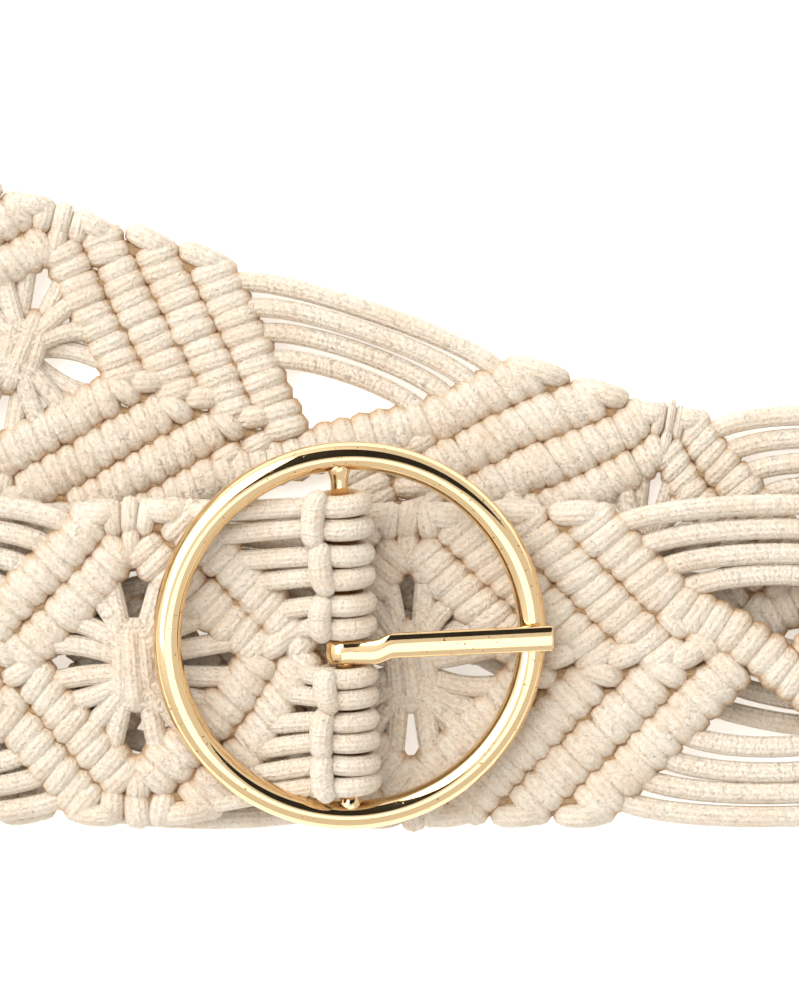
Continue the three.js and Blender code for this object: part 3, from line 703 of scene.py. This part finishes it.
# One row for each loop from the tongue outwards, first above and then below it: its place along
# the bar, its fold's distance from the bar, half length, slant and height.
FOLDS = np.array([
    [FIRST_LOOP - ROOT_OFFSET, 4.9, 4.1, -0.06, 4.1],
    [FIRST_LOOP + UPPER_PITCH - ROOT_OFFSET, 4.4, 5.0, 0.1, 4.3],
    [FIRST_LOOP + 2 * UPPER_PITCH - ROOT_OFFSET, 5.5, 5.4, -0.12, 3.7],
    [-FIRST_LOOP - ROOT_OFFSET, 4.3, 4.1, 0.1, 4.4],
    [-FIRST_LOOP - LOWER_PITCH - ROOT_OFFSET, 5.4, 4.8, -0.1, 3.8],
    [-FIRST_LOOP - 2 * LOWER_PITCH - ROOT_OFFSET, 5.5, 4.6, 0.06, 3.6],
])

# Half the step between a loop's two turns, and their cord: below the tongue there is less room.
UPPER_APART, UPPER_RADIUS = 2.25, 2.2
LOWER_APART, LOWER_RADIUS = 2.04, 2.02
FOLD_RADIUS = 2.3
FOLD_WIDE = 1.3
FOLD_BACK = 1.3
FOLD_SINK = 1.2

loops = CordMesh()
angle = np.arange(24) / 24 * 2 * np.pi
bar_rng = np.random.default_rng(9)
turn_paths, fold_paths = [], []
for place, away, half, slant, high in FOLDS:
    apart = UPPER_APART if place > 0 else LOWER_APART
    for side in (1, -1):
        y = place + side * apart + bar_rng.normal(0, 0.12) * np.cos(angle)
        grow = 4.05 + 0.25 * np.cos(angle + 0.6)
        turn_paths.append(np.stack([-BAR_OFFSET + grow * np.cos(angle), y, 4.0 * np.sin(angle)], axis=1))
    share = np.linspace(-1, 1, 15)
    y = place + (half - 0.7) * share
    x = -BAR_OFFSET - away - slant * y + slant * place + FOLD_BACK * share ** 4
    z = high - FOLD_SINK * share ** 4
    fold_paths.append(np.stack([x, y, z], axis=1))
thick = np.repeat(np.where(FOLDS[:, 0] > 0, UPPER_RADIUS, LOWER_RADIUS), 2)[:, None]
points = tubes(np.array(turn_paths), thick, np.array([0, 1.0, 0]), around=12, closed=True)
# Painted shade on the turns round the bar, least near their outer crest and growing toward the bar.
near = np.clip(np.abs(np.linalg.norm(points[..., [0, 2]] + [BAR_OFFSET, 0], axis=-1) - 5.6) / 3.2, 0.05, 0.7)
loops.add(on_buckle(points), near, True, 901)
thin = np.sqrt(1 - 0.75 * np.linspace(-1, 1, 15) ** 8)
points = tubes(np.array(fold_paths), FOLD_RADIUS * thin[None], out_of_strap, around=12, wide=FOLD_WIDE)
loops.add(on_buckle(points), 0.08, False, 902)

# The free lengths from the loops to the first row, each a cubic curve, two cords to a loop: their
# places in that row are shares of half the strap's width. The curve's first two points are given
# by their distance behind the bar and their height.
ROW_SHARES = np.array([[0.12, 0.26], [0.45, 0.6], [0.77, 0.92]])
LEAD_START = (2.0, 1.2)
LEAD_AHEAD = (8.0, -0.4)
LEAD_PULL = 0.35
LEAD_RADIUS = 1.95

share = np.linspace(0, 1, 13)[:, None]
_, first_rows, first_star, first_way = next(panels())
lead_paths = []
for n, place in enumerate(FOLDS[:, 0]):
    side = 1 if n < 3 else -1
    for m, row_share in enumerate(ROW_SHARES[n % 3]):
        v = row_share * HALF_WIDTH
        x = STAR_HALF + (first_rows - 0.45) * ROW_PITCH - v * ROW_SLOPE
        goal = lay([along_panel(0, first_star, first_way, x), side * v, 0.3])
        y = place + side * (m - 0.5) * CORD
        start = on_buckle(np.array([-BAR_OFFSET - LEAD_START[0], y, LEAD_START[1]]))
        ahead = on_buckle(np.array([-BAR_OFFSET - LEAD_AHEAD[0], y, LEAD_AHEAD[1]]))
        pull = goal + (start - goal) * LEAD_PULL + [0, 0, 1.0]
        lead_paths.append((1 - share) ** 3 * start + 3 * (1 - share) ** 2 * share * ahead
                          + 3 * (1 - share) * share ** 2 * pull + share ** 3 * goal)
points = tubes(np.array(lead_paths), LEAD_RADIUS, np.array([0, 1.0, 0.2]), around=10)
loops.add(points, 0.2, False, 903)
loops.build("strap_bar_loops", natural_cotton)


# Ring and bar
# Round wire of zinc alloy, closed to a ring with the bar soldered across it, then polished and
# plated pale gold. The plating is bright, with a few small pits and rubbed lines.

def closed_grid(grid, open_ends=False):
    """Faces on a grid of points (a, b, 3) that is wrapped round its second way, and round its first
    too unless it has open ends, which one face each closes."""
    a, b, _ = grid.shape
    i, j = np.meshgrid(np.arange(a - 1 if open_ends else a), np.arange(b), indexing="ij")
    next_i, next_j = (i + 1) % a, (j + 1) % b
    faces = np.stack([i * b + j, i * b + next_j, next_i * b + next_j, next_i * b + j], axis=-1)
    faces = faces.reshape(-1, 4).tolist()
    if open_ends:
        faces += [list(range(b))[::-1], [(a - 1) * b + k for k in range(b)]]
    return grid.reshape(-1, 3), faces


def metal_piece(name, parts, material, body):
    """One object from several closed grids."""
    verts, faces, count = [], [], 0
    for points, some in parts:
        verts.append(points)
        faces += [[k + count for k in face] for face in some]
        count += len(points)
    mesh = bpy.data.meshes.new(name)
    mesh.from_pydata(np.concatenate(verts) / 1000, [], faces)
    mesh.shade_smooth()
    mesh.materials.append(material)
    piece = bpy.data.objects.new(name, mesh)
    bpy.context.scene.collection.objects.link(piece)
    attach(piece, body)
    return piece


def polished_gold(name):
    """Pale gold plate on polished zinc alloy: mirror bright, with pits under half a millimetre and
    fine rubbed lines that blur the reflection a little."""
    material = bpy.data.materials.new(name)
    material.use_nodes = True
    tree = material.node_tree
    shader = tree.nodes["Principled BSDF"]
    shader.inputs["Metallic"].default_value = 1.0
    place = node(tree, "ShaderNodeTexCoord").outputs["Object"]
    cloud = node(tree, "ShaderNodeTexNoise", {}, {"Vector": place, "Scale": 120.0, "Detail": 3.0}).outputs[0]
    rough = node(tree, "ShaderNodeMapRange", {}, {"Value": cloud, "From Min": 0.3, "From Max": 0.7,
                                                  "To Min": 0.03, "To Max": 0.09})
    tree.links.new(rough.outputs[0], shader.inputs["Roughness"])
    pits = node(tree, "ShaderNodeTexNoise", {}, {"Vector": place, "Scale": 1500.0, "Detail": 1.0}).outputs[0]
    pits = node(tree, "ShaderNodeMapRange", {}, {"Value": pits, "From Min": 0.7, "From Max": 0.78,
                                                 "To Max": 1.0}).outputs[0]
    tone = node(tree, "ShaderNodeMix", {"data_type": "RGBA"},
                {"Factor": pits, "A": linear("#ECCD9E"), "B": linear("#7C5628")})
    tree.links.new(tone.outputs["Result"], shader.inputs["Base Color"])
    wave = node(tree, "ShaderNodeTexNoise", {}, {"Vector": place, "Scale": 220.0, "Detail": 2.0}).outputs[0]
    height = node(tree, "ShaderNodeMath", {"operation": "MULTIPLY_ADD"},
                  {0: pits, 1: -0.8, 2: wave}).outputs[0]
    bump = node(tree, "ShaderNodeBump", {}, {"Strength": 0.16, "Distance": 0.0001, "Height": height})
    tree.links.new(bump.outputs[0], shader.inputs["Normal"])
    return material


gold_plate = polished_gold("polished_gold_plate")
RING_RADIUS = (RING_OUTER - RING_WIRE) / 2
turn = (np.arange(256) / 256 * 2 * np.pi)[:, None]
wire = (np.arange(32) / 32 * 2 * np.pi)[None]
distance = RING_RADIUS + RING_WIRE / 2 * np.cos(wire)
height = RING_WIRE / 2 * np.sin(wire) + 0 * turn
ring_grid = np.stack([distance * np.cos(turn), distance * np.sin(turn), height], axis=-1)
ring_part = closed_grid(ring_grid)

# The bar widens a little where it is soldered to the wire.
bar_half = math.sqrt(RING_RADIUS ** 2 - BAR_OFFSET ** 2)
foot = bar_half - RING_WIRE / 2
y = np.array([-bar_half, -foot - 0.5, -foot + 0.2, -foot + 0.9, -foot + 1.8, 0,
              foot - 1.8, foot - 0.9, foot - 0.2, foot + 0.5, bar_half])
radius = np.array([1.35, 1.35, 1.3, 1.12, 1.0, 1.0, 1.0, 1.12, 1.3, 1.35, 1.35]) * BAR_RADIUS
wire = (np.arange(24) / 24 * 2 * np.pi)[None]
bar_grid = np.stack([radius[:, None] * np.cos(wire) - BAR_OFFSET, y[:, None] + 0 * wire,
                     -radius[:, None] * np.sin(wire)], axis=-1)
bar_part = closed_grid(bar_grid, open_ends=True)
frame_parts = [(on_buckle(points), faces) for points, faces in (ring_part, bar_part)]
buckle_ring = metal_piece("buckle_ring_and_bar", frame_parts, gold_plate, "belt")
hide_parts("buckle_frame")


# Tongue
# A flat tongue stamped from the same metal and curled round the bar, where it turns freely. It
# bends up from the bar, runs level and ends over the ring, a little above it.

TONGUE_THICK = 1.8
TONGUE_TIP = RING_OUTER / 2 + 1 + BAR_OFFSET
CURL_RADIUS = BAR_RADIUS + FIT + TONGUE_THICK / 2
REST_HEIGHT = RING_WIRE / 2 + FIT + TONGUE_THICK / 2
CURL_STATIONS = 22
BEND_END = 8.4  # from the bar's axis to the level part
JOG_LENGTH = 2.4  # along the tongue, for its sideways step

# Along the tongue: the curl from below the bar round its back to above it, then a smooth rise to
# the level part, and the tip.
curl = np.linspace(-0.3 * np.pi, -1.5 * np.pi, CURL_STATIONS)
curl_path = np.stack([CURL_RADIUS * np.cos(curl), CURL_RADIUS * np.sin(curl)], axis=1)
rise_x = np.linspace(0.9, TONGUE_TIP - 0.5, 36)
ease = np.clip(rise_x / BEND_END, 0, 1)
rise_z = CURL_RADIUS + (REST_HEIGHT - CURL_RADIUS) * ease * ease * (3 - 2 * ease)
path = np.concatenate([curl_path, np.stack([rise_x, rise_z], axis=1),
                       [[TONGUE_TIP - 0.12, REST_HEIGHT], [TONGUE_TIP, REST_HEIGHT]]])
step = unit(np.gradient(path, axis=0))
up = np.stack([-step[:, 1], step[:, 0]], axis=1)
# Across it: a strip with a crowned top and rounded edges, smaller at both ends and a little
# narrower near the bar. It steps sideways just before the level part.
edge = np.array([-1, -0.93, -0.78, -0.5, 0, 0.5, 0.78, 0.93, 1])
crown = np.array([0.3, 0.66, 0.86, 1.0, 1.12, 1.0, 0.86, 0.66, 0.3])
profile_y = np.concatenate([edge, edge[::-1]]) * TONGUE_WIDTH / 2
profile_z = np.concatenate([crown, -0.9 * np.minimum(crown, 1)]) * TONGUE_THICK / 2
shrink = np.ones(len(path))
shrink[[0, -1]] = 0.85, 0.8
width = np.interp(path[:, 0], [0, 8, 12, TONGUE_TIP], [0.93, 1.0, 1.0, 1.04])
jog = np.clip((BEND_END - path[:, 0]) / JOG_LENGTH, 0, 1) * TONGUE_JOG
jog[:CURL_STATIONS] = TONGUE_JOG
tongue_grid = np.stack([
    path[:, :1] + up[:, :1] * profile_z * shrink[:, None],
    profile_y * (shrink * width)[:, None] - jog[:, None],
    path[:, 1:] + up[:, 1:] * profile_z * shrink[:, None],
], axis=-1)
tongue_grid += [-BAR_OFFSET, -TONGUE_OFFSET, 0]
points, faces = closed_grid(tongue_grid, open_ends=True)
tongue = metal_piece("buckle_tongue_polished", [(on_buckle(points), faces)], gold_plate, "tongue")
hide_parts("buckle_tongue")


# Surface, light and camera
# A white table top that glows a little, a bright room and one wide soft light from the upper
# left. Two lights and a black panel overhead are there for the reflections of polished metal.

floor_mesh = bpy.data.meshes.new("white_table_top")
floor_mesh.from_pydata([(-4, -4, 0), (4, -4, 0), (4, 4, 0), (-4, 4, 0)], [], [(0, 1, 2, 3)])
floor = bpy.data.objects.new("white_table_top", floor_mesh)
bpy.context.scene.collection.objects.link(floor)
paint = bpy.data.materials.new("matt_white_paint")
paint.use_nodes = True
shader = paint.node_tree.nodes["Principled BSDF"]
shader.inputs["Base Color"].default_value = linear("#FBFAF8")
shader.inputs["Roughness"].default_value = 0.9
shader.inputs["Emission Color"].default_value = linear("#FFFDF9")
shader.inputs["Emission Strength"].default_value = 0.45
floor_mesh.materials.append(paint)

world = bpy.data.worlds.new("soft_white_room")
world.use_nodes = True
tree = world.node_tree
background = tree.nodes["Background"]
background.inputs["Color"].default_value = (1, 0.99, 0.975, 1)
# The room is brighter toward a window in the upper left.
direction = node(tree, "ShaderNodeTexCoord").outputs["Generated"]
toward = node(tree, "ShaderNodeVectorMath", {"operation": "DOT_PRODUCT"},
              {0: direction, 1: (-0.65, 0.45, 0.61)}).outputs["Value"]
glow = node(tree, "ShaderNodeMapRange", {}, {"Value": toward, "From Min": 0.45, "From Max": 0.95,
                                             "To Min": 0.9, "To Max": 1.65}).outputs[0]
tree.links.new(glow, background.inputs["Strength"])
bpy.context.scene.world = world


def soft_light(name, place, size, power, colour):
    """A rectangular area light at place, facing the origin."""
    light = bpy.data.lights.new(name, "AREA")
    light.shape = "RECTANGLE"
    light.size, light.size_y = size
    light.energy = power
    light.color = colour
    lamp = bpy.data.objects.new(name, light)
    bpy.context.scene.collection.objects.link(lamp)
    lamp.location = place
    heading = math.atan2(place[1], place[0])
    lamp.rotation_euler = (0, math.atan2(math.hypot(place[0], place[1]), place[2]), heading)
    return lamp


soft_light("key_light", (-0.75, 0.65, 1.15), (1.6, 1.6), 19, (1, 0.985, 0.96))
strip = soft_light("strip_light_for_the_metal", (-0.78, 0.2, 1.0), (0.7, 1.5), 11, (1, 1, 1))
low = soft_light("low_light_for_the_metal", (0.15, -0.62, 1.25), (0.5, 1.3), 3.0, (1, 0.98, 0.95))
for lamp in (strip, low):
    lamp.visible_diffuse = False
    lamp.visible_camera = False

# The black panel over the camera and toward the upper right gives polished metal its dark lines.
PANEL_CORNERS = [(0.95, 0.25, 0.6), (-0.25, 0.95, 0.6), (-0.2, -0.09, 1.3), (0.16, -0.13, 1.3)]
panel_mesh = bpy.data.meshes.new("black_panel")
panel_mesh.from_pydata(PANEL_CORNERS, [], [(0, 1, 2, 3)])
panel = bpy.data.objects.new("black_panel", panel_mesh)
bpy.context.scene.collection.objects.link(panel)
felt = bpy.data.materials.new("black_felt")
felt.use_nodes = True
shader = felt.node_tree.nodes["Principled BSDF"]
shader.inputs["Base Color"].default_value = linear("#0C0A08")
shader.inputs["Roughness"].default_value = 1.0
panel_mesh.materials.append(felt)
panel.visible_camera = False
panel.visible_diffuse = False
panel.visible_shadow = False

camera_data = bpy.data.cameras.new("photo_camera")
camera_data.sensor_fit = "VERTICAL"
camera_data.sensor_height = 24
camera_data.lens = 150
camera = bpy.data.objects.new("photo_camera", camera_data)
bpy.context.scene.collection.objects.link(camera)
camera.location = (0.01313, -0.00896, 1.22)
camera.rotation_euler = (0, 0, 0)
bpy.context.scene.camera = camera
bpy.context.scene.view_settings.view_transform = "Standard"
